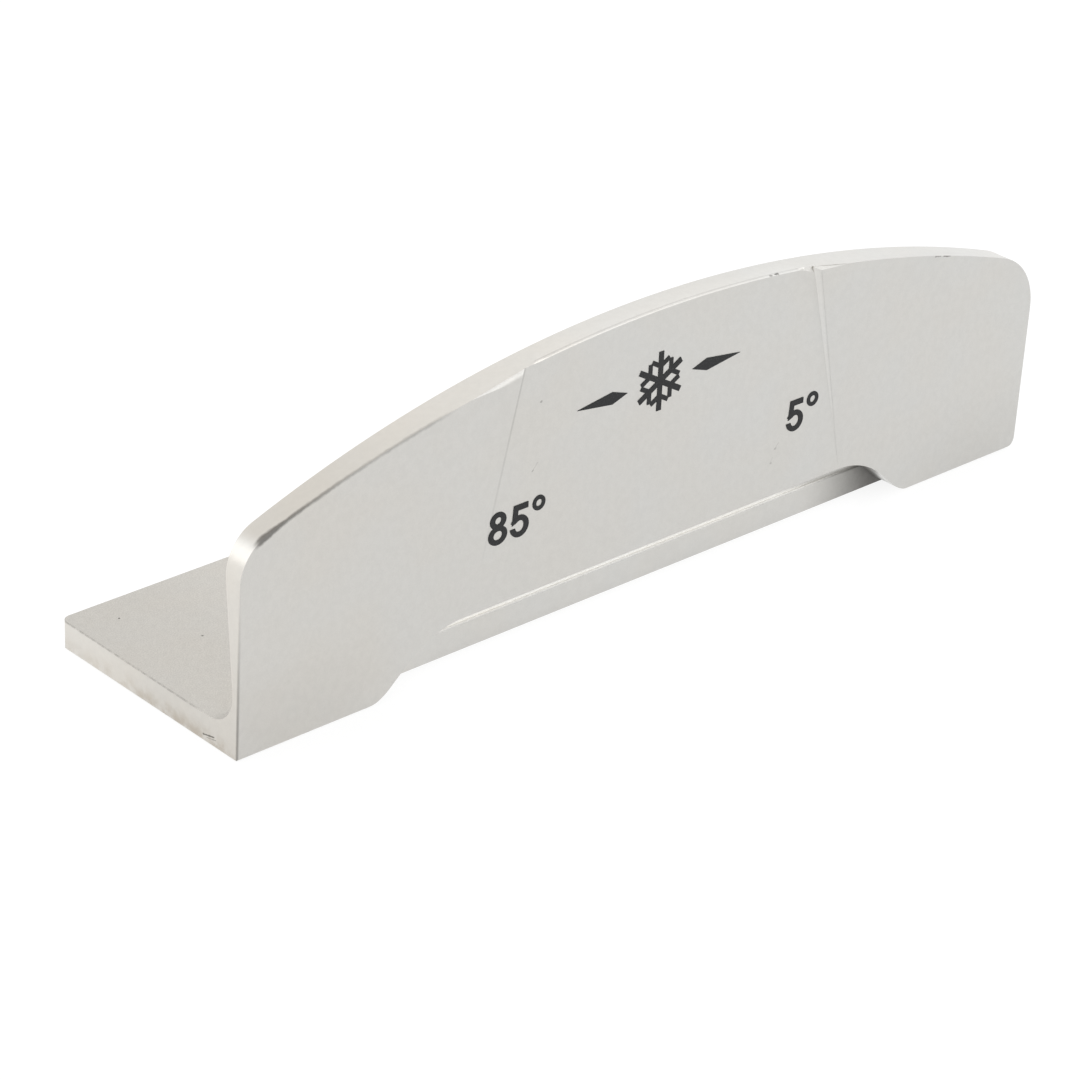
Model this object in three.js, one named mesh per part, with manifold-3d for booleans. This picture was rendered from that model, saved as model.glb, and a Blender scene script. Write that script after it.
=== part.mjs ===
// Fixed-angle side-edge file guide for skis and snowboards.
//
// The guide is one piece of satin steel with an L section. The base leg lies on the ski base, and
// the upright leg holds the file: its inner face leans over the base leg, so that the two meet at
// 85 degrees, 5 degrees from square. A notch through the bottom of the front face opens the corner
// of the L, so that filings fall out and the edge can be seen. The middle of the front face is
// square to the base and carries the printed marks. Its two ends lean forward a little, so they
// stand proud of the middle by a step that fades out towards the notch. The edges are finished by
// hand, so the two ends of the guide differ a little in their corners and facets.
//
// Frame: X runs along the guide, +Y from the marked face to the back edge of the base leg, +Z up.
// The origin is the bottom centre of the guide's box. All sizes are in millimetres.

import * as THREE from 'three';
import { mergeVertices } from 'three/addons/utils/BufferGeometryUtils.js';
import { ConvexGeometry } from 'three/addons/geometries/ConvexGeometry.js';
import Module from 'manifold-3d';

const degrees = Math.PI / 180;

// Overall form. Y is counted from the marked middle face until the whole guide is centred.
const length = 120;
const apexHeight = 35.8;
const archRadius = 169;
const topCornerRadius = { left: 5.6, right: 8.5 };
const footCornerRadius = { left: 0.35, right: 1.5 };

// Base leg.
const baseBackY = 31.2;
const baseThickness = 3.5;
const backCornerRadius = 1.2;
const toeRadius = 0.55;

// Upright leg. The inner face would meet the top of the base leg at innerRootY without its fillet.
const fileAngle = 85 * degrees;
const innerRootY = 0.52;
const innerFilletRadius = 4;

// Front face: its ends lean forward about a level line at the notch's ceiling.
const endLean = 1.2 * degrees;
const middleHalfTop = 21.4;
const middleHalfBottom = 28.6;
const stepRampAngle = 40 * degrees;

// The top front edge of the middle face is broken, more on top than on the front.
const edgeBreak = { drop: 0.1, inset: 0.45, leftX: -19.6, rightX: 20.2, floorZ: 33 };

// Ground facets on the top front edge. Each is deepest at innerX and runs out at outerX. The
// first two lie beside the steps, the third rounds off the middle face at the right step, and
// the last two run out the edge break.
const facets = [
  { outerX: -29.5, innerX: -21.2, drop: 0.78, inset: 0.62, onMiddle: false },
  { outerX: 27, innerX: 21.6, drop: 0.36, inset: 0.75, onMiddle: false },
  { outerX: 19.2, innerX: 21.85, drop: 0.75, inset: 0.3, onMiddle: true },
  { outerX: -21, innerX: -19.6, drop: 0.1, inset: 0.45, onMiddle: true },
  { outerX: 21.6, innerX: 20.2, drop: 0.1, inset: 0.45, onMiddle: true },
];

// Notch through the bottom of the front face: level ceiling, then an S curve down to each foot.
const notchCentreX = -0.4;
const notchHeight = 6.8;
const notchDepthY = 3.85;
const notchCeilingHalf = 28.7;
const notchRampAngle = 42 * degrees;
const notchTopRadius = 11.5;
const notchFootRadius = 6;
const rimRadius = 0.55;

// Printed marks: an ink film on the middle face.
const inkThickness = 0.06;
const digitHeight = 4;
const digitWidth = 2.7;
const digitStroke = 0.72;
const markBaseline = 14.2;
const digitPitch = 3.1;
const leftMarkX = -24.7;
const rightMarkX = 20.5;
const degreeOuterRadius = 0.92;
const degreeInnerRadius = 0.42;
const degreeOffsetX = 2.75;
const emblemX = -1.5;
const emblemZ = 27;
const crystalRadius = 3.6;
const crystalStroke = 0.7;
const crystalBranch = 1.5;
const pointedBarLength = 7.4;
const pointedBarHeight = 1.5;
const pointedBarGap = 1.3;

// Steps used for the round stretches.
const archSteps = 60;
const cornerSteps = 14;
const ovalSteps = 32;

// Cutters reach this far past the surface that they cut.
const clear = 2;

const wasm = await Module();
wasm.setup();

// --- Solids -----------------------------------------------------------------------------------

function solid(geometry) {
  const bare = geometry.index ? geometry.toNonIndexed() : geometry.clone();
  bare.deleteAttribute('normal');
  bare.deleteAttribute('uv');
  const merged = mergeVertices(bare, 1e-5);
  return new wasm.Manifold(new wasm.Mesh({
    numProp: 3,
    vertProperties: new Float32Array(merged.attributes.position.array),
    triVerts: new Uint32Array(merged.index.array),
  }));
}

function geometryOf(manifold) {
  const mesh = manifold.getMesh();
  const geometry = new THREE.BufferGeometry();
  geometry.setAttribute('position', new THREE.BufferAttribute(mesh.vertProperties, 3));
  geometry.setIndex(new THREE.BufferAttribute(mesh.triVerts, 1));
  geometry.computeVertexNormals();
  return geometry;
}

function union(solids) {
  return solids.reduce((all, next) => all.add(next));
}

function extruded(points, depth) {
  const shape = new THREE.Shape(points);
  return new THREE.ExtrudeGeometry(shape, { depth, bevelEnabled: false, steps: 1 });
}

// An outline in (y, z), pushed along X from x0 to x1.
function alongX(points, x0, x1) {
  const geometry = extruded(points, x1 - x0);
  geometry.rotateX(Math.PI / 2);
  geometry.rotateZ(Math.PI / 2);
  geometry.translate(x0, 0, 0);
  return solid(geometry);
}

// An outline in (x, z), pushed along Y from y0 to y1.
function alongY(points, y0, y1) {
  const geometry = extruded(points, y1 - y0);
  geometry.rotateX(Math.PI / 2);
  geometry.translate(0, y1, 0);
  return solid(geometry);
}

// An outline in (x, y), pushed along Z from z0 to z1.
function alongZ(points, z0, z1) {
  const geometry = extruded(points, z1 - z0);
  geometry.translate(0, 0, z0);
  return solid(geometry);
}

// Points on an arc, both ends included; steps is the number of chords.
function arc(centreX, centreY, radiusX, radiusY, start, end, steps) {
  const points = [];
  for (let i = 0; i <= steps; i += 1) {
    const angle = start + ((end - start) * i) / steps;
    points.push(new THREE.Vector2(
      centreX + radiusX * Math.cos(angle),
      centreY + radiusY * Math.sin(angle),
    ));
  }
  return points;
}

function mirrored(points) {
  return points.map((p) => new THREE.Vector2(-p.x, p.y)).reverse();
}

// --- Steel guide ------------------------------------------------------------------------------

const archHeight = (x) => apexHeight - archRadius + Math.sqrt(archRadius ** 2 - x ** 2);
const endFaceY = (z) => -(z - notchHeight) * Math.tan(endLean);
const innerFaceY = (z) => innerRootY + (z - baseThickness) * Math.tan(Math.PI / 2 - fileAngle);

// L section in (y, z): round toe, base leg, fillet, inner file face, leaning front.
function sectionOutline() {
  const top = apexHeight + clear;
  const lean = Math.PI / 2 - fileAngle;
  const filletZ = baseThickness + innerFilletRadius;
  const filletY = innerFaceY(filletZ) + innerFilletRadius / Math.cos(lean);
  const fillet = arc(
    filletY, filletZ, innerFilletRadius, innerFilletRadius,
    Math.PI - lean, 1.5 * Math.PI, cornerSteps,
  );
  const toeY = endFaceY(toeRadius) + toeRadius;
  const toe = arc(toeY, toeRadius, toeRadius, toeRadius, Math.PI, 1.5 * Math.PI, cornerSteps);
  return [
    ...toe,
    new THREE.Vector2(baseBackY, 0),
    new THREE.Vector2(baseBackY, baseThickness),
    ...fillet.reverse(),
    new THREE.Vector2(innerFaceY(top), top),
    new THREE.Vector2(endFaceY(top), top),
  ];
}

// One end of the front outline in (x, z), from the foot up to the start of the arch.
function frontEnd(topRadius, footRadius) {
  const half = length / 2;
  const archCentreZ = apexHeight - archRadius;
  const cornerX = half - topRadius;
  const cornerZ = archCentreZ + Math.sqrt((archRadius - topRadius) ** 2 - cornerX ** 2);
  const cornerEnd = Math.atan2(cornerZ - archCentreZ, cornerX);
  const foot = arc(
    half - footRadius, footRadius, footRadius, footRadius, -Math.PI / 2, 0, cornerSteps,
  );
  const corner = arc(cornerX, cornerZ, topRadius, topRadius, 0, cornerEnd, cornerSteps);
  return { points: [...foot, ...corner], cornerEnd };
}

const rightEnd = frontEnd(topCornerRadius.right, footCornerRadius.right);
const leftEnd = frontEnd(topCornerRadius.left, footCornerRadius.left);

// The arch from the right top corner to the left one, or a curve level with it inside or outside.
function archArc(radius) {
  return arc(
    0, apexHeight - archRadius, radius, radius,
    rightEnd.cornerEnd, Math.PI - leftEnd.cornerEnd, archSteps,
  );
}

// Front outline in (x, z): round feet, straight ends, round top corners and the shallow arch.
function frontOutline() {
  const arch = archArc(archRadius).slice(1, -1);
  return [...rightEnd.points, ...arch, ...mirrored(leftEnd.points)];
}

// Plan outline in (x, y): square at the front, with the two back corners of the base leg rounded.
function planOutline() {
  const half = length / 2;
  const front = -2 * clear;
  const backCorner = arc(
    half - backCornerRadius, baseBackY - backCornerRadius, backCornerRadius, backCornerRadius,
    0, Math.PI / 2, cornerSteps,
  );
  const right = [new THREE.Vector2(half, front), ...backCorner];
  return [...right, ...mirrored(right)];
}

// Notch outline in (x, z): one S curve, its mirror image, and a mouth below the guide.
function notchOutline() {
  const topCentreZ = notchHeight - notchTopRadius;
  const rampTopX = notchCeilingHalf + notchTopRadius * Math.sin(notchRampAngle);
  const rampTopZ = topCentreZ + notchTopRadius * Math.cos(notchRampAngle);
  const rampFootZ = notchFootRadius * (1 - Math.cos(notchRampAngle));
  const rampFootX = rampTopX + (rampTopZ - rampFootZ) / Math.tan(notchRampAngle);
  const footEndX = rampFootX + notchFootRadius * Math.sin(notchRampAngle);
  const footCurve = arc(
    footEndX, notchFootRadius, notchFootRadius, notchFootRadius,
    -Math.PI / 2, -Math.PI / 2 - notchRampAngle, cornerSteps,
  );
  const topCurve = arc(
    notchCeilingHalf, topCentreZ, notchTopRadius, notchTopRadius,
    Math.PI / 2 - notchRampAngle, Math.PI / 2, cornerSteps,
  );
  const rightSide = [new THREE.Vector2(footEndX, -clear), ...footCurve, ...topCurve];
  return [...rightSide, ...mirrored(rightSide)].map(
    (p) => new THREE.Vector2(p.x + notchCentreX, p.y),
  );
}

// The round on the rim, where the back wall of the notch meets the fillet inside the guide.
function rimCutter() {
  const lean = Math.PI / 2 - fileAngle;
  const filletZ = baseThickness + innerFilletRadius;
  const filletY = innerFaceY(filletZ) + innerFilletRadius / Math.cos(lean);
  const centreY = notchDepthY + rimRadius;
  const reach = innerFilletRadius + rimRadius;
  const centreZ = filletZ - Math.sqrt(reach ** 2 - (filletY - centreY) ** 2);
  const end = Math.atan2(filletZ - centreZ, filletY - centreY);
  const round = arc(centreY, centreZ, rimRadius, rimRadius, Math.PI, end, cornerSteps);
  const touch = round[round.length - 1];
  const profile = [
    new THREE.Vector2(notchDepthY - clear, centreZ),
    ...round,
    new THREE.Vector2(touch.x, touch.y + clear),
    new THREE.Vector2(notchDepthY - clear, touch.y + clear),
  ];
  const half = length / 2;
  return alongX(profile, -half, half)
    .intersect(alongY(notchOutline(), -clear, notchDepthY + 2 * rimRadius));
}

// Everything in front of the middle face, with a sloping ramp at both sides for the steps.
function middleCutter() {
  const front = endFaceY(apexHeight) - clear;
  const flare = -front / Math.tan(stepRampAngle);
  const bottom = notchHeight - clear;
  const top = apexHeight + clear;
  const slope = (middleHalfBottom - middleHalfTop) / (apexHeight - notchHeight);
  const halfAt = (z) => middleHalfBottom - (z - notchHeight) * slope;
  const points = [];
  for (const z of [bottom, top]) {
    for (const side of [-1, 1]) {
      points.push(new THREE.Vector3(side * halfAt(z), 0, z));
      points.push(new THREE.Vector3(side * (halfAt(z) + flare), front, z));
    }
  }
  return solid(new ConvexGeometry(points));
}

// A wedge that grinds a long triangular facet on the top front edge beside a step.
function facetCutter({ outerX, innerX, drop, inset, onMiddle }) {
  const outerZ = archHeight(outerX);
  const innerZ = archHeight(innerX);
  const outerFront = onMiddle ? 0 : endFaceY(outerZ);
  const innerFront = onMiddle ? 0 : endFaceY(innerZ);
  return solid(new ConvexGeometry([
    new THREE.Vector3(outerX, outerFront, outerZ),
    new THREE.Vector3(innerX, innerFront, innerZ - drop),
    new THREE.Vector3(innerX, innerFront + inset, innerZ),
    new THREE.Vector3(innerX, innerFront - clear, innerZ + clear),
    new THREE.Vector3(outerX, outerFront - clear, outerZ + clear),
  ]));
}

// Everything outside a cone about the arch's axis, which leaves a narrow break on the edge.
function edgeBreakCutter() {
  const { drop, inset, leftX, rightX, floorZ } = edgeBreak;
  const flare = (clear * drop) / inset;
  const ring = (radius, y) => archArc(radius).map((p) => new THREE.Vector3(p.x, y, p.y));
  const cone = solid(new ConvexGeometry([
    ...ring(archRadius - drop - flare, -clear),
    ...ring(archRadius + flare, inset + clear),
  ]));
  const band = [
    new THREE.Vector2(leftX, floorZ),
    new THREE.Vector2(rightX, floorZ),
    new THREE.Vector2(rightX, apexHeight + clear),
    new THREE.Vector2(leftX, apexHeight + clear),
  ];
  return alongY(band, -0.5 * clear, inset + 0.5 * clear).subtract(cone);
}

function steelGuide() {
  const half = length / 2;
  const blank = alongX(sectionOutline(), -half, half)
    .intersect(alongY(frontOutline(), -2 * clear, baseBackY + clear))
    .intersect(alongZ(planOutline(), -clear, apexHeight + clear));
  const cutters = [
    alongY(notchOutline(), -clear, notchDepthY),
    rimCutter(),
    middleCutter(),
    edgeBreakCutter(),
    ...facets.map(facetCutter),
  ];
  return cutters.reduce((body, cutter) => body.subtract(cutter), blank);
}

// --- Printed marks ----------------------------------------------------------------------------

const inkFilm = (points) => alongY(points, -inkThickness, 0);

const oval = (x, z, radiusX, radiusZ) => arc(
  x, z, radiusX, radiusZ, 0, 2 * Math.PI * (1 - 1 / ovalSteps), ovalSteps - 1,
);

const polygon = (corners) => corners.map(([x, z]) => new THREE.Vector2(x, z));

// A cutter for the same film, a little thicker so that it goes right through.
const through = (points) => alongY(points, -inkThickness - clear, clear);

function digitEight(x, z) {
  const lowerRadiusX = digitWidth / 2;
  const lowerRadiusZ = digitHeight * 0.29;
  const upperRadiusX = lowerRadiusX * 0.86;
  const upperRadiusZ = digitHeight * 0.26;
  const lowerZ = z + lowerRadiusZ;
  const upperZ = z + digitHeight - upperRadiusZ;
  const lobes = inkFilm(oval(x, lowerZ, lowerRadiusX, lowerRadiusZ))
    .add(inkFilm(oval(x, upperZ, upperRadiusX, upperRadiusZ)));
  const thin = digitStroke * 0.86;
  return lobes
    .subtract(through(oval(x, lowerZ, lowerRadiusX - digitStroke, lowerRadiusZ - thin)))
    .subtract(through(oval(x, upperZ, upperRadiusX - digitStroke, upperRadiusZ - thin)));
}

function digitFive(x, z) {
  const left = x - digitWidth / 2;
  const right = x + digitWidth / 2;
  const top = z + digitHeight;
  const bowlRadiusX = digitWidth / 2;
  const bowlRadiusZ = digitHeight * 0.335;
  const bowlZ = z + bowlRadiusZ;
  const thin = digitStroke * 0.9;
  const bowl = inkFilm(oval(x, bowlZ, bowlRadiusX, bowlRadiusZ))
    .subtract(through(oval(x, bowlZ, bowlRadiusX - digitStroke, bowlRadiusZ - thin)));
  const opening = through(polygon([
    [left - clear, bowlZ - 0.2 * digitStroke],
    [x - 0.2 * digitStroke, bowlZ - 0.2 * digitStroke],
    [x - 0.2 * digitStroke, bowlZ + 0.75 * digitStroke],
    [left - clear, bowlZ + 0.75 * digitStroke],
  ]));
  const stem = inkFilm(polygon([
    [left + 0.1 * digitWidth, bowlZ + 0.35 * digitStroke],
    [left + 0.1 * digitWidth + digitStroke, bowlZ + 0.75 * digitStroke],
    [left + 0.17 * digitWidth + digitStroke, top],
    [left + 0.17 * digitWidth, top],
  ]));
  const flag = inkFilm(polygon([
    [left + 0.17 * digitWidth, top - digitStroke],
    [right - 0.06 * digitWidth, top - digitStroke],
    [right - 0.06 * digitWidth, top],
    [left + 0.17 * digitWidth, top],
  ]));
  return union([bowl.subtract(opening), stem, flag]);
}

function degreeRing(x) {
  const z = markBaseline + digitHeight - degreeOuterRadius * 0.75;
  return inkFilm(oval(x, z, degreeOuterRadius, degreeOuterRadius))
    .subtract(through(oval(x, z, degreeInnerRadius, degreeInnerRadius)));
}

// A straight stroke of the emblem from one point to another, with square ends.
function stroke(from, to, width) {
  const across = new THREE.Vector2().subVectors(to, from).normalize().multiplyScalar(width / 2);
  across.set(-across.y, across.x);
  return inkFilm([
    from.clone().sub(across),
    to.clone().sub(across),
    to.clone().add(across),
    from.clone().add(across),
  ]);
}

function snowCrystal() {
  const centre = new THREE.Vector2(emblemX, emblemZ);
  const reach = (angle, distance, from = centre) => new THREE.Vector2(
    from.x + distance * Math.cos(angle),
    from.y + distance * Math.sin(angle),
  );
  const strokes = [];
  for (let arm = 0; arm < 6; arm += 1) {
    const angle = Math.PI / 2 + (arm * Math.PI) / 3;
    strokes.push(stroke(centre, reach(angle, crystalRadius), crystalStroke));
    const fork = reach(angle, crystalRadius * 0.5);
    for (const turn of [-Math.PI / 3, Math.PI / 3]) {
      strokes.push(stroke(fork, reach(angle + turn, crystalBranch, fork), crystalStroke * 0.8));
    }
  }
  return union(strokes);
}

function pointedBar(side) {
  const near = emblemX + side * (crystalRadius + pointedBarGap);
  const far = near + side * pointedBarLength;
  const middle = near + side * pointedBarLength * 0.3;
  const corners = polygon([
    [near, emblemZ],
    [middle, emblemZ - pointedBarHeight / 2],
    [far, emblemZ],
    [middle, emblemZ + pointedBarHeight / 2],
  ]);
  return inkFilm(side > 0 ? corners : corners.reverse());
}

// --- Assembly ---------------------------------------------------------------------------------

const steel = () => new THREE.MeshStandardMaterial({
  color: 0xcdccc8, roughness: 0.45, metalness: 0.9,
});
const ink = () => new THREE.MeshStandardMaterial({
  color: 0x3a3d42, roughness: 0.6, metalness: 0,
});

function named(name, manifold, material) {
  const mesh = new THREE.Mesh(geometryOf(manifold), material);
  mesh.name = name;
  return mesh;
}

const group = new THREE.Group();
group.add(named('angle_guide', steelGuide(), steel()));

const marks = new THREE.Group();
marks.add(named('ink_digit_8', digitEight(leftMarkX, markBaseline), ink()));
marks.add(named('ink_digit_5_left', digitFive(leftMarkX + digitPitch, markBaseline), ink()));
marks.add(named('ink_degree_left', degreeRing(leftMarkX + digitPitch + degreeOffsetX), ink()));
marks.add(named('ink_digit_5_right', digitFive(rightMarkX, markBaseline), ink()));
marks.add(named('ink_degree_right', degreeRing(rightMarkX + degreeOffsetX), ink()));
marks.add(named('ink_snow_crystal', snowCrystal(), ink()));
marks.add(named('ink_pointed_bar_left', pointedBar(-1), ink()));
marks.add(named('ink_pointed_bar_right', pointedBar(1), ink()));
group.add(marks);

// The foremost points are the end faces' top corners, so the box runs from there to the back edge.
const box = new THREE.Box3().setFromObject(group.children[0]);
group.position.y = -(box.min.y + box.max.y) / 2;

export default group;
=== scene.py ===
"""Looks of a fixed-angle side-edge file guide: satin steel, printed marks, pale studio."""

from math import cos, pi, radians, sin

import bpy
from mathutils import Matrix, Vector

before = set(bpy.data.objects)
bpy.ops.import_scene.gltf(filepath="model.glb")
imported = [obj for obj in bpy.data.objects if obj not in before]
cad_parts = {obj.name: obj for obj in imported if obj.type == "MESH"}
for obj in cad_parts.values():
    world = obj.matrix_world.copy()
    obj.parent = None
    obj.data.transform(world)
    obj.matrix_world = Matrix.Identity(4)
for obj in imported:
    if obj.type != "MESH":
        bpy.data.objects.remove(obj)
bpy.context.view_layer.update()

MM = 0.001
scene = bpy.context.scene


# --- Camera -----------------------------------------------------------------------------------

CAMERA_PLACE = Vector((-276.9, -291.7, 214.4)) * MM
CAMERA_AZIMUTH = radians(-43.08)
CAMERA_ELEVATION = radians(28.05)
CAMERA_ROLL = radians(2.54)
CAMERA_LENS = 131.5
CAMERA_SENSOR = 36.0
CAMERA_CLIP = (0.01, 50.0)


def add_camera():
    data = bpy.data.cameras.new("camera")
    data.sensor_width = CAMERA_SENSOR
    data.lens = CAMERA_LENS
    data.clip_start, data.clip_end = CAMERA_CLIP
    camera = bpy.data.objects.new("camera", data)
    scene.collection.objects.link(camera)
    turn = (
        Matrix.Rotation(CAMERA_AZIMUTH, 4, "Z")
        @ Matrix.Rotation(radians(90) - CAMERA_ELEVATION, 4, "X")
        @ Matrix.Rotation(CAMERA_ROLL, 4, "Z")
    )
    camera.matrix_world = Matrix.Translation(CAMERA_PLACE) @ turn
    scene.camera = camera


# --- Node helpers -----------------------------------------------------------------------------

def new_material(name):
    material = bpy.data.materials.new(name)
    material.use_nodes = True
    nodes = material.node_tree.nodes
    nodes.clear()
    output = nodes.new("ShaderNodeOutputMaterial")
    shader = nodes.new("ShaderNodeBsdfPrincipled")
    material.node_tree.links.new(shader.outputs["BSDF"], output.inputs["Surface"])
    return material, shader


def grey(level):
    return (level, level, level, 1.0)


class Graph:
    """Short names for the few node kinds that the materials use."""

    def __init__(self, material):
        self.tree = material.node_tree

    def node(self, kind, **settings):
        made = self.tree.nodes.new(kind)
        for key, value in settings.items():
            setattr(made, key, value)
        return made

    def link(self, source, target):
        self.tree.links.new(source, target)

    def put(self, value, socket):
        if isinstance(value, (int, float, tuple)):
            socket.default_value = value
        else:
            self.link(value, socket)

    def math(self, operation, first, second=0.0, clamp=False):
        made = self.node("ShaderNodeMath", operation=operation, use_clamp=clamp)
        self.put(first, made.inputs[0])
        self.put(second, made.inputs[1])
        return made.outputs[0]

    def product(self, first, *others):
        for other in others:
            first = self.math("MULTIPLY", first, other)
        return first

    def total(self, first, *others):
        for other in others:
            first = self.math("ADD", first, other)
        return first

    def most(self, first, *others):
        for other in others:
            first = self.math("MAXIMUM", first, other)
        return first

    def opposite(self, mask):
        return self.math("SUBTRACT", 1.0, mask, clamp=True)

    def remap(self, value, low, high, to_low=0.0, to_high=1.0, smooth=True):
        made = self.node("ShaderNodeMapRange")
        made.interpolation_type = "SMOOTHSTEP" if smooth else "LINEAR"
        self.put(value, made.inputs["Value"])
        made.inputs["From Min"].default_value = low
        made.inputs["From Max"].default_value = high
        made.inputs["To Min"].default_value = to_low
        made.inputs["To Max"].default_value = to_high
        return made.outputs["Result"]

    def mix(self, factor, first, second):
        made = self.node("ShaderNodeMix", data_type="RGBA")
        self.put(factor, made.inputs["Factor"])
        self.put(first, made.inputs["A"])
        self.put(second, made.inputs["B"])
        return made.outputs["Result"]

    def times(self, first, second):
        made = self.node("ShaderNodeMix", data_type="RGBA", blend_type="MULTIPLY")
        made.inputs["Factor"].default_value = 1.0
        self.put(first, made.inputs["A"])
        self.put(second, made.inputs["B"])
        return made.outputs["Result"]

    def vector(self, operation, first, second):
        made = self.node("ShaderNodeVectorMath", operation=operation)
        self.put(first, made.inputs[0])
        self.put(second, made.inputs[1])
        return made.outputs["Vector"]

    def split(self, vector):
        made = self.node("ShaderNodeSeparateXYZ")
        self.link(vector, made.inputs[0])
        return made.outputs["X"], made.outputs["Y"], made.outputs["Z"]

    def noise(self, place, scale, detail=2.0, roughness=0.5):
        made = self.node("ShaderNodeTexNoise")
        self.link(place, made.inputs["Vector"])
        made.inputs["Scale"].default_value = scale
        made.inputs["Detail"].default_value = detail
        made.inputs["Roughness"].default_value = roughness
        return made.outputs["Fac"]

    def bump(self, height, strength, distance, before=None):
        made = self.node("ShaderNodeBump")
        self.link(height, made.inputs["Height"])
        made.inputs["Strength"].default_value = strength
        made.inputs["Distance"].default_value = distance
        if before is not None:
            self.link(before, made.inputs["Normal"])
        return made.outputs["Normal"]

    def place(self):
        """The point on the part in metres, which is the object's own coordinate."""
        return self.node("ShaderNodeTexCoord").outputs["Object"]


# --- Steel ------------------------------------------------------------------------------------

STEEL_COLOUR = (0.616, 0.612, 0.593, 1.0)
STEEL_WARM = (0.628, 0.596, 0.545, 1.0)
STAIN_COLOUR = (0.53, 0.47, 0.39, 1.0)
# Dark colour for the dents, chips and grain, and for the painted shade and reflections.
DIRT_AND_SHADE_COLOUR = (0.05, 0.045, 0.038, 1.0)

# How much warmer a place is than the cool steel, from 0 to 1.
WARMER_LEFT = 0.24
WARMER_PATCHES = 0.27
WARMER_ARCH_LEFT = 0.6
WARMER_BASE_TOP = 0.28
WARMER_END = 0.4

# How light each place is against the blasted faces; the tints of the facet, broken top edge and rim
# are painted highlight and painted shade, and those of the notch's left end and the ramp edge are
# painted light.
GROUND_TINT = 1.13
BASE_TOP_TINT = 1.01
END_TINT = 1.18
# The facet where the right step meets the arch is darkened as painted shade.
FACET_SHADE_TINT = 0.86
# Painted shade that dims the highlight on the broken top edge.
BROKEN_TOP_SHADE_TINT = 0.93
# The rim's tints: a painted highlight where the rim turns over, painted shade at its right end and
# on its low part, and painted shade on the flat strip behind it, deeper at the right end.
RIM_HIGHLIGHT_TINT = 1.42
RIM_SHADE_TINT_RIGHT = 0.80
RIM_SHADE_TINT_LOW = 0.80
RIM_FLAT_SHADE_TINT = 0.84
RIM_FLAT_SHADE_TINT_RIGHT = 0.55
# Painted light on the left end of the notch's walls.
NOTCH_LEFT_LIGHT_TINT = 1.04
# Painted light that lifts the dark shading line at the ramp's outer edge.
RAMP_EDGE_LIGHT_TINT = 1.09

# Grain: scale per millimetre, darkness from 0 to 1, and depth of the relief.
GRAIN_SCALE = 5.5
GRAIN_DARKNESS = 0.035
GRAIN_DEPTH = 0.03 * MM
DIMPLE_SCALE = 6.0
DIMPLE_DARKNESS = 0.10
DIMPLE_DEPTH = 0.06 * MM
MOTTLE_SCALE = 1.1
MOTTLE_DARKNESS = 0.03
STREAK_STRETCH = (0.12, 4.0, 0.4)
STREAK_DEPTH = 0.05 * MM

# Darkness from 0 to 1 of the painted dark reflections along the arch edge and the front corner, the
# chipped lip, the painted shade along the step, low on the left end and in the notch, the darkening
# low on the feet and on the arch's left, and the strength of the stain.
EDGE_REFLECTION_DARKNESS = (0.30, 0.66)
CORNER_REFLECTION_DARKNESS = (0.02, 0.42)
LIP_DARKNESS = 0.26
CREASE_SHADE_DARKNESS = 0.16
END_SHADE = 0.15
FOOT_DARKER_LOW = 0.06
NOTCH_SHADE = 0.75
ARCH_DARKER_LEFT = 0.07
STAIN_STRENGTH = 0.75

# Roughness of the blasted grain, and what the other places add to it.
BLASTED_ROUGHNESS = (0.34, 0.39)
BASE_TOP_ROUGHER = 0.13
GROUND_ROUGHER = -0.05
RIM_ROUGHER = 0.03
DIRT_AND_SHADE_ROUGHER = 0.3

# Sizes on the part in millimetres, in the part's own frame.
LEFT_END_X = -60.0
ARCH_RADIUS = 169.0
ARCH_CENTRE_Z = -133.2
MIDDLE_FACE_Y = -15.32
END_FACE_SLOPE = 0.02095
NOTCH_TOP_Z = 6.8
BASE_TOP_Z = 3.5
CREASE_FOOT_X = -28.3
CREASE_SLOPE = 0.24
EDGE_REFLECTION_WIDTH = (0.34, 0.56)
EDGE_REFLECTION_WOBBLE = 0.05
EDGE_REFLECTION_DROP = 0.20

# Bounds of the places that look different. Each is a coordinate of the point in millimetres or
# of the face's normal, its value where the place begins, and its value where the place is whole.
BLASTED = [("front_or_back", 0.75, 0.95)]
FRONT_FACE = [("ny", -0.8, -0.95)]
BASE_TOP = [("nz", 0.75, 0.95), ("z", 5.0, 4.0)]
LEFT_END = [("nx", -0.7, -0.95)]
ARCH_TOP = [("nz", 0.7, 0.9), ("z", 10.0, 20.0)]

# The broken front edge along the middle of the arch, the facet where the right step meets the
# arch, and the outer edge of the right step's ramp.
BROKEN_TOP = [("y", -14.75, -14.9), ("off_middle", 20.5, 19.5)]
FACET = [("x", 20.9, 21.3), ("z", 33.0, 33.3), ("ny", -0.12, -0.2), ("nz", 0.4, 0.6)]
RAMP_EDGE = [
    ("x", 19.5, 20.5), ("x", 29.0, 28.0), ("z", 7.0, 8.0),
    ("nx", -0.02, -0.08), ("nx", -0.6, -0.4),
]

# The rim where the notch cuts the top of the base leg, where it turns over, where it is low,
# and the flat strip behind it.
RIM = [
    ("y", -10.85, -11.05), ("y", -11.6, -11.5), ("nz", 0.1, 0.35),
    ("z", 5.0, 4.5), ("off_middle", 36.8, 36.0),
]
RIM_SHINE = [("nz", 0.55, 0.8), ("nz", 0.97, 0.86)]
RIM_LOW = [("nz", 0.60, 0.45)]
RIM_FLAT = [("y", -10.6, -10.9), ("nz", 0.84, 0.93), ("z", 5.0, 4.5), ("off_middle", 36.8, 36.0)]

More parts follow.
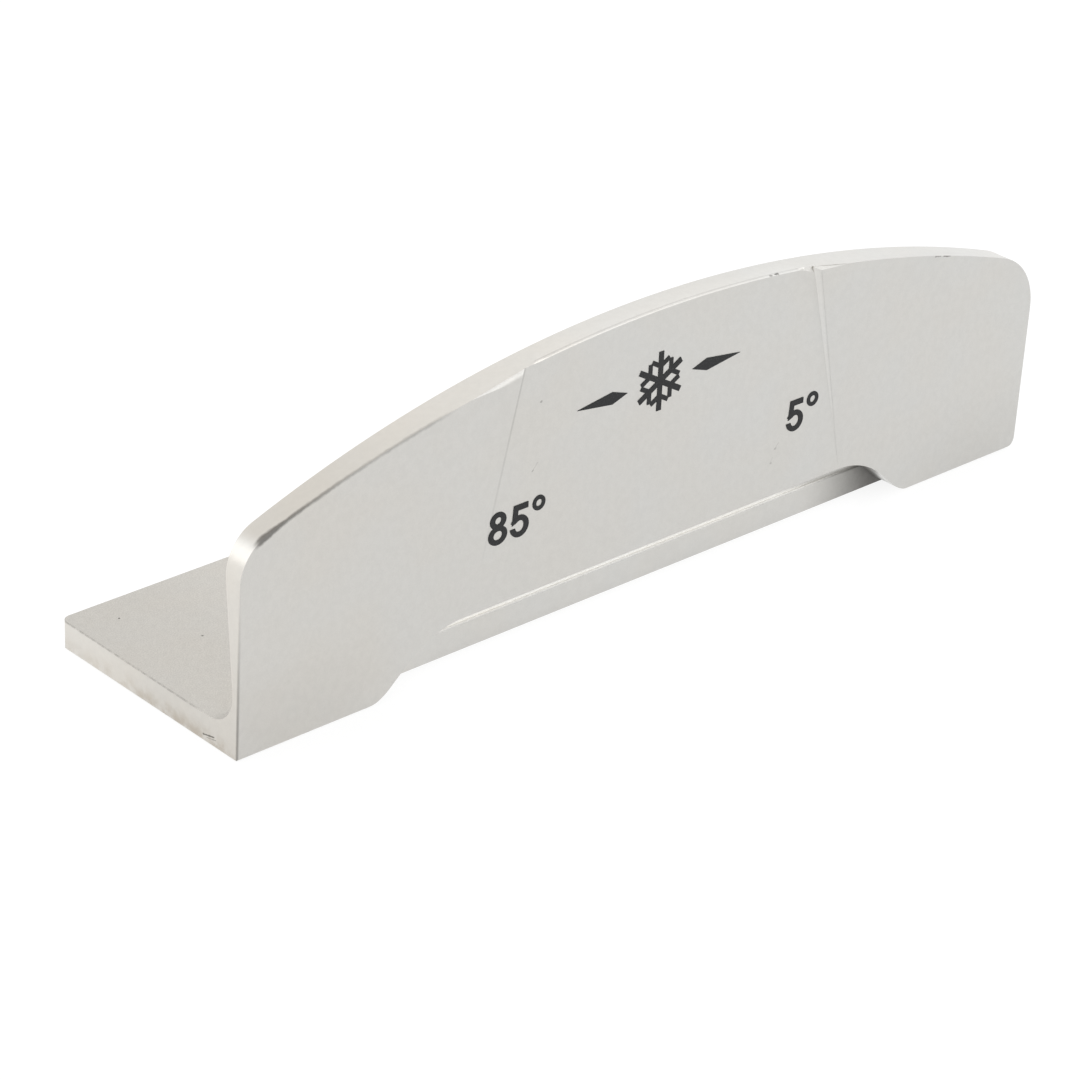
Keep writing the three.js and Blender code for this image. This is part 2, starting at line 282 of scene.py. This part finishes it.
# The walls of the notch, which get painted shade at their right end, the left end of them, which
# gets painted light, and the inner fillet, which is left out.
NOTCH = [
    ("off_middle", 45.0, 41.0), ("z", 7.0, 6.4),
    ("y", -14.6, -12.6), ("y", -10.9, -11.3), ("ny", 0.5, 0.2),
]
NOTCH_LEFT = [("x", -27.0, -35.0)]
INNER_FILLET = [("ny", -0.12, -0.02), ("nz", 0.2, 0.5)]

# Pits, nicks and scratches: both ends (x, y, z) and half width in millimetres, and darkness.
DENTS = [
    ((-55.0, 12.0, 3.5), (-54.9, 12.0, 3.5), 0.16, 0.75),
    ((-50.2, 3.4, 3.5), (-50.1, 3.4, 3.5), 0.14, 0.6),
    ((-19.2, -15.3, 29.7), (-19.1, -15.3, 29.7), 0.19, 0.35),
    ((-20.0, -15.3, 21.7), (-19.3, -15.3, 22.5), 0.09, 0.16),
    ((-20.0, -15.3, 21.7), (-19.9, -15.3, 21.75), 0.14, 0.35),
    ((17.6, -15.3, 12.8), (18.1, -15.3, 13.4), 0.11, 0.14),
    ((17.6, -15.3, 12.8), (17.7, -15.3, 12.8), 0.17, 0.25),
    ((17.0, -15.3, 11.1), (17.3, -15.3, 11.8), 0.09, 0.10),
    ((17.0, -15.3, 11.1), (17.1, -15.3, 11.1), 0.15, 0.22),
    ((14.9, -15.15, 35.08), (15.1, -15.15, 35.07), 0.22, 0.5),
    ((15.8, -15.12, 35.01), (16.2, -15.10, 34.98), 0.24, 0.65),
    ((44.3, -15.86, 29.9), (43.2, -15.86, 30.15), 0.22, 0.55),
    ((42.6, -15.86, 30.3), (41.7, -15.86, 30.5), 0.16, 0.4),
    ((-60.0, -9.5, 0.9), (-60.0, -11.3, 1.3), 0.13, 0.6),
    ((-60.0, -10.1, 0.75), (-60.0, -11.6, 1.05), 0.07, 0.4),
]


class Marks:
    """Sizes on the part, in millimetres, that the looks of the steel are drawn from."""

    def __init__(self, g):
        self.g = g
        scale = g.node("ShaderNodeVectorMath", operation="SCALE")
        g.link(g.place(), scale.inputs[0])
        scale.inputs["Scale"].default_value = 1.0 / MM
        self.point = scale.outputs["Vector"]
        self.x, self.y, self.z = g.split(self.point)
        self.off_middle = g.math("ABSOLUTE", self.x)
        nx, ny, nz = g.split(g.node("ShaderNodeNewGeometry").outputs["Normal"])
        self.named = {
            "x": self.x, "y": self.y, "z": self.z, "off_middle": self.off_middle,
            "nx": nx, "ny": ny, "nz": nz, "front_or_back": g.math("ABSOLUTE", ny),
        }

    def inside(self, bounds):
        """Mask from 0 to 1 of the place within the bounds."""
        g = self.g
        return g.product(*[g.remap(self.named[key], start, whole) for key, start, whole in bounds])

    def distance(self, first, second):
        g = self.g
        return g.math("SQRT", g.total(g.product(first, first), g.product(second, second)))

    def below_arch(self):
        """Depth under the arch's surface."""
        g = self.g
        rise = g.math("SUBTRACT", self.z, ARCH_CENTRE_Z)
        return g.math("SUBTRACT", ARCH_RADIUS, self.distance(self.x, rise))

    def behind_end_face(self):
        """Depth behind the leaning front face of the two ends."""
        g = self.g
        lean = g.product(g.math("SUBTRACT", self.z, NOTCH_TOP_Z), END_FACE_SLOPE)
        return g.total(g.math("SUBTRACT", self.y, MIDDLE_FACE_Y), lean)

    def from_left_end(self):
        return self.g.math("SUBTRACT", self.x, LEFT_END_X)

    def off_segment(self, start, end):
        """Distance from the straight line between two points."""
        g = self.g
        along = Vector(end) - Vector(start)
        reach = g.vector("SUBTRACT", self.point, start)
        share = g.node("ShaderNodeVectorMath", operation="DOT_PRODUCT")
        g.link(reach, share.inputs[0])
        share.inputs[1].default_value = along / along.length_squared
        near = g.node("ShaderNodeVectorMath", operation="SCALE")
        near.inputs[0].default_value = along
        g.link(g.math("ADD", share.outputs["Value"], 0.0, clamp=True), near.inputs["Scale"])
        away = g.node("ShaderNodeVectorMath", operation="DISTANCE")
        g.link(reach, away.inputs[0])
        g.link(near.outputs["Vector"], away.inputs[1])
        return away.outputs["Value"]


class Places:
    """Masks from 0 to 1 of the places on the steel that look different."""

    def __init__(self, g, m):
        self.rim = m.inside(RIM)
        self.rim_shine = g.product(self.rim, m.inside(RIM_SHINE))
        self.rim_low = g.product(self.rim, m.inside(RIM_LOW))
        self.rim_flat = m.inside(RIM_FLAT)

        self.base_top = g.product(m.inside(BASE_TOP), g.opposite(self.rim))
        self.blasted = m.inside(BLASTED)
        self.ground = g.opposite(g.most(self.blasted, self.base_top))
        self.front_face = m.inside(FRONT_FACE)

        self.left_end = m.inside(LEFT_END)
        self.arch_top = m.inside(ARCH_TOP)
        self.broken_top = g.product(self.arch_top, m.inside(BROKEN_TOP))
        self.facet = m.inside(FACET)
        self.ramp_edge = m.inside(RAMP_EDGE)
        self.notch = g.product(m.inside(NOTCH), g.opposite(m.inside(INNER_FILLET)))
        self.notch_left = g.product(self.notch, m.inside(NOTCH_LEFT))


def steel_colour(g, m, places):
    """Warm grey with slow patches, warmer on the base leg and towards the left end."""
    patches = g.remap(g.noise(m.point, 0.09, detail=3.0), 0.3, 0.7, 0.0, WARMER_PATCHES)
    warmth = g.total(g.remap(m.x, 20.0, -60.0, 0.0, WARMER_LEFT), patches)
    warm_arch = g.product(places.arch_top, g.remap(m.x, 15.0, -45.0, 0.0, WARMER_ARCH_LEFT))
    warm_low = g.total(g.product(places.base_top, WARMER_BASE_TOP),
                       g.product(places.left_end, WARMER_END))
    warmth = g.math("ADD", warmth, g.most(warm_arch, warm_low), clamp=True)
    return g.mix(warmth, STEEL_COLOUR, STEEL_WARM)


def steel_tint(g, m, places):
    """Lightness of each place against the blasted faces, with painted highlight and painted shade
    on the rim, facet, broken top edge, notch's left end and ramp edge, and the rim duller at its
    right end as painted shade.
    """
    # Painted highlight on the rim's turn going over into painted shade at its right end; painted
    # shade on the flat strip behind the rim, deeper at the right end.
    rim_highlight_and_shade = g.mix(g.remap(m.x, 23.0, 30.0), grey(RIM_HIGHLIGHT_TINT), grey(RIM_SHADE_TINT_RIGHT))
    flat_shade_tint = g.mix(g.remap(m.x, 21.5, 29.0), grey(RIM_FLAT_SHADE_TINT), grey(RIM_FLAT_SHADE_TINT_RIGHT))
    tint = grey(1.0)
    for mask, change in (
        (places.ground, grey(GROUND_TINT)),
        (places.base_top, grey(BASE_TOP_TINT)),
        (places.facet, grey(FACET_SHADE_TINT)),
        (places.left_end, grey(END_TINT)),
        (places.broken_top, grey(BROKEN_TOP_SHADE_TINT)),
        (places.rim_shine, rim_highlight_and_shade),
        (places.rim_low, grey(RIM_SHADE_TINT_LOW)),
        (places.rim_flat, flat_shade_tint),
        (places.notch_left, grey(NOTCH_LEFT_LIGHT_TINT)),
        (places.ramp_edge, grey(RAMP_EDGE_LIGHT_TINT)),
    ):
        tint = g.mix(mask, tint, change)
    return tint


def edge_dark_reflection(g, m):
    """Painted dark reflection along the left part of the arch's front edge, widest at the corner.
    """
    drop = g.remap(m.x, -54.0, -57.5, 0.0, EDGE_REFLECTION_DROP)
    edge = m.distance(g.math("SUBTRACT", m.below_arch(), drop), m.behind_end_face())
    wobble = g.remap(g.noise(m.point, 1.6, detail=3.0), 0.3, 0.7, -EDGE_REFLECTION_WOBBLE, EDGE_REFLECTION_WOBBLE)
    width = g.total(g.remap(m.x, -53.5, -57.5, *EDGE_REFLECTION_WIDTH), wobble)
    dark_reflection = g.remap(g.math("SUBTRACT", edge, width), 0.12, -0.30)
    reach = g.product(g.remap(m.x, -30.5, -36.0), g.remap(m.x, -58.4, -57.4))
    return g.product(dark_reflection, reach, g.remap(m.x, -42.0, -57.0, *EDGE_REFLECTION_DARKNESS))


def corner_reflection_and_chips(g, m):
    """Painted dark reflection down the left front corner, and a chipped line along the top of the
    left end.
    """
    corner = m.distance(m.from_left_end(), m.behind_end_face())
    down = g.product(g.remap(corner, 0.30, 0.06), g.remap(m.z, 22.0, 3.0, *CORNER_REFLECTION_DARKNESS))
    lip = m.distance(m.from_left_end(), g.math("SUBTRACT", m.z, BASE_TOP_Z))
    lip_line = g.product(g.remap(lip, 0.22, 0.04, 0.0, LIP_DARKNESS), g.remap(m.y, -10.0, -7.0))
    chips = g.remap(g.noise(m.point, 1.2, detail=4.0), 0.34, 0.62, 0.25, 1.0)
    return g.most(down, g.product(lip_line, chips))


def step_crease_shade(g, m, places):
    """Painted shade as a faint leaning line along the left step, fading towards its foot."""
    lean = g.product(g.math("SUBTRACT", m.z, NOTCH_TOP_Z), CREASE_SLOPE)
    line_x = g.total(lean, CREASE_FOOT_X)
    off_line = g.math("ABSOLUTE", g.math("SUBTRACT", m.x, line_x))
    fade = g.remap(m.z, 7.0, 32.0, 0.0, CREASE_SHADE_DARKNESS)
    return g.product(g.remap(off_line, 0.22, 0.06), fade, places.front_face)


def dents(g, m):
    """Pits, nicks and scratches with ragged outlines."""
    ragged = g.remap(g.noise(m.point, 3.0, detail=2.0), 0.3, 0.7, 0.7, 1.5)
    deepest = 0.0
    for start, end, radius, darkness in DENTS:
        away = g.product(m.off_segment(start, end), ragged)
        deepest = g.most(g.remap(away, radius, 0.4 * radius, 0.0, darkness), deepest)
    return deepest


def shade_and_darkening(g, m, places):
    """Painted shade low and towards the front on the left end and in the right of the notch; darker
    towards the floor on the feet and towards the left on the arch.
    """
    on_end = g.math("MINIMUM", g.remap(m.z, 32.0, 3.0, 0.0, END_SHADE, smooth=False),
                    g.remap(m.y, 15.8, -3.0, 0.0, END_SHADE, smooth=False))
    on_feet = g.product(g.remap(m.off_middle, 36.0, 52.0), g.remap(m.z, 13.0, 1.0, 0.0, FOOT_DARKER_LOW))
    in_notch = g.product(places.notch, g.remap(m.x, 26.0, 41.0, 0.0, NOTCH_SHADE))
    on_arch = g.product(places.arch_top, g.remap(m.x, -34.0, -52.0, 0.0, ARCH_DARKER_LEFT))
    return g.most(g.product(on_end, places.left_end), on_feet, in_notch, on_arch)


def stain(g, m, places):
    """Brown stain low on the left end."""
    blotch = g.remap(g.noise(m.point, 0.45, detail=4.0, roughness=0.6), 0.35, 0.65)
    low = g.product(g.remap(m.z, 2.6, 0.4), g.remap(m.y, 14.0, -4.0, 0.35, 1.0))
    return g.product(places.left_end, low, blotch, STAIN_STRENGTH)


def steel_relief(g, m, places, fine, dimples):
    """Fine grain everywhere, coarser on the base leg, and streaks along ground edges."""
    streaks = g.noise(g.vector("MULTIPLY", m.point, STREAK_STRETCH), 1.0, detail=3.0)
    relief = g.bump(fine, 0.10, GRAIN_DEPTH)
    relief = g.bump(g.product(dimples, places.base_top), 0.4, DIMPLE_DEPTH, relief)
    return g.bump(g.product(streaks, places.ground), 0.15, STREAK_DEPTH, relief)


def steel_material():
    material, shader = new_material("satin_steel")
    g = Graph(material)
    m = Marks(g)
    places = Places(g, m)

    # Grain: fine everywhere, with dark dimples on the base leg and a slow mottle.
    dimples = g.noise(m.point, DIMPLE_SCALE, detail=2.0, roughness=0.6)
    fine = g.noise(m.point, GRAIN_SCALE, detail=2.0, roughness=0.6)
    slow = g.noise(m.point, MOTTLE_SCALE, detail=4.0, roughness=0.62)
    mottle = g.remap(slow, 0.34, 0.66, 0.0, MOTTLE_DARKNESS)
    speckle = g.product(g.remap(dimples, 0.62, 0.40, 0.0, DIMPLE_DARKNESS), places.base_top)
    soft_speckle = g.product(g.remap(fine, 0.66, 0.34, 0.0, GRAIN_DARKNESS), places.blasted)

    # Dents and chips, with painted dark reflections along the edges and painted shade along the
    # step; then grain, mottle, and painted shade and darkening in the notch, on the left end, feet
    # and arch.
    wear_and_painted_shade = g.most(edge_dark_reflection(g, m), corner_reflection_and_chips(g, m), step_crease_shade(g, m, places), dents(g, m))
    thin = g.total(speckle, soft_speckle, mottle, shade_and_darkening(g, m, places))
    dark = g.math("ADD", wear_and_painted_shade, thin, clamp=True)
    colour = g.times(steel_colour(g, m, places), steel_tint(g, m, places))
    colour = g.mix(stain(g, m, places), colour, STAIN_COLOUR)
    g.link(g.mix(dark, colour, DIRT_AND_SHADE_COLOUR), shader.inputs["Base Color"])

    rough = g.total(
        g.remap(fine, 0.3, 0.7, *BLASTED_ROUGHNESS),
        g.product(places.base_top, BASE_TOP_ROUGHER),
        g.product(places.ground, GROUND_ROUGHER),
        g.product(places.rim, RIM_ROUGHER),
        g.product(dark, DIRT_AND_SHADE_ROUGHER),
    )
    g.link(rough, shader.inputs["Roughness"])
    shader.inputs["Metallic"].default_value = 1.0
    g.link(steel_relief(g, m, places, fine, dimples), shader.inputs["Normal"])
    return material


# --- Ink and floor ----------------------------------------------------------------------------

INK_COLOUR = (0.017, 0.0175, 0.018, 1.0)
INK_WORN = (0.035, 0.036, 0.038, 1.0)
INK_GRAIN_SCALE = 5200.0
INK_SPECULAR = 0.25
INK_ROUGHNESS = 0.6

FLOOR_COLOUR = grey(0.15)
FLOOR_ROUGHNESS = 0.9
FLOOR_GLOW = 0.86


def ink_material():
    material, shader = new_material("printed_ink")
    g = Graph(material)
    grain = g.noise(g.place(), INK_GRAIN_SCALE, detail=3.0)
    g.link(g.mix(g.remap(grain, 0.45, 0.75), INK_COLOUR, INK_WORN), shader.inputs["Base Color"])
    shader.inputs["Roughness"].default_value = INK_ROUGHNESS
    shader.inputs["Specular IOR Level"].default_value = INK_SPECULAR
    return material


def floor_material():
    material, shader = new_material("pale_floor")
    shader.inputs["Base Color"].default_value = FLOOR_COLOUR
    shader.inputs["Roughness"].default_value = FLOOR_ROUGHNESS
    shader.inputs["Emission Color"].default_value = grey(1.0)
    shader.inputs["Emission Strength"].default_value = FLOOR_GLOW
    return material


# --- Object -----------------------------------------------------------------------------------

EDGE_BREAK = 0.18 * MM
EDGE_BREAK_STEPS = 3
SHARP_EDGE = radians(60)
WELD_DISTANCE = 0.002 * MM
FLAT_WITHIN = radians(0.2)
FACE_WEIGHT = 100


def break_edges(piece):
    """Bevels the sharp edges and keeps the flat faces flat in the shading."""
    weld = piece.modifiers.new("weld", "WELD")
    weld.merge_threshold = WELD_DISTANCE
    flat = piece.modifiers.new("flat_faces", "DECIMATE")
    flat.decimate_type = "DISSOLVE"
    flat.angle_limit = FLAT_WITHIN
    bevel = piece.modifiers.new("broken_edges", "BEVEL")
    bevel.width = EDGE_BREAK
    bevel.segments = EDGE_BREAK_STEPS
    bevel.limit_method = "ANGLE"
    bevel.angle_limit = SHARP_EDGE
    bevel.miter_outer = "MITER_ARC"
    normals = piece.modifiers.new("face_normals", "WEIGHTED_NORMAL")
    normals.keep_sharp = True
    normals.weight = FACE_WEIGHT


def dress(piece, material):
    piece.data.materials.clear()
    piece.data.materials.append(material)


def dress_part():
    steel = steel_material()
    ink = ink_material()
    for name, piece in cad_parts.items():
        if name.startswith("ink_"):
            dress(piece, ink)
        else:
            dress(piece, steel)
            piece.data.shade_smooth()
            break_edges(piece)


# --- Studio -----------------------------------------------------------------------------------

WORLD_STRENGTH = 0.89
FLOOR_HALF_SIZE = 3.0
SOFTBOX_DISTANCE = 1.2
SOFTBOX_TARGET = Vector((0, 0, 20)) * MM

# Softboxes: name, azimuth and elevation in degrees, width and height in metres, and radiance.
SOFTBOXES = [
    ("softbox_front_right", -50, 12, 0.7, 0.5, 1.08),
    ("softbox_right_front_high", -40, 38, 0.6, 0.4, 0.60),
    ("softbox_back_right", 20, 30, 0.7, 0.7, 0.65),
    ("softbox_right_high", 20, 62, 0.7, 0.7, 1.25),
    ("softbox_back_right_high", 54, 36, 0.5, 0.5, 0.15),
    ("softbox_back", 95, 30, 0.8, 0.7, 0.23),
    ("softbox_back_left", 130, 22, 0.8, 0.6, 0.63),
    ("softbox_left", 165, 25, 0.8, 0.7, 1.08),
    ("softbox_left_front", -160, 25, 0.8, 0.7, 0.36),
    ("softbox_overhead", 0, 90, 0.7, 0.7, 0.20),
]


def add_floor():
    half = FLOOR_HALF_SIZE
    mesh = bpy.data.meshes.new("floor")
    corners = [(-half, -half, 0), (half, -half, 0), (half, half, 0), (-half, half, 0)]
    mesh.from_pydata(corners, [], [(0, 1, 2, 3)])
    floor = bpy.data.objects.new("floor", mesh)
    scene.collection.objects.link(floor)
    mesh.materials.append(floor_material())


def add_softbox(name, azimuth, elevation, width, height, radiance):
    data = bpy.data.lights.new(name, "AREA")
    data.shape = "RECTANGLE"
    data.size = width
    data.size_y = height
    data.energy = pi * width * height * radiance
    light = bpy.data.objects.new(name, data)
    scene.collection.objects.link(light)
    turn = radians(azimuth)
    lift = radians(elevation)
    away = Vector((cos(lift) * cos(turn), cos(lift) * sin(turn), sin(lift)))
    aim = away.to_track_quat("Z", "Y").to_matrix().to_4x4()
    light.matrix_world = Matrix.Translation(SOFTBOX_TARGET + SOFTBOX_DISTANCE * away) @ aim
    light.visible_camera = False


def add_world():
    world = bpy.data.worlds.new("studio")
    world.use_nodes = True
    background = world.node_tree.nodes["Background"]
    background.inputs["Color"].default_value = grey(1.0)
    background.inputs["Strength"].default_value = WORLD_STRENGTH
    scene.world = world


scene.view_settings.view_transform = "Standard"
scene.view_settings.look = "None"
add_camera()
dress_part()
add_floor()
add_world()
for softbox in SOFTBOXES:
    add_softbox(*softbox)
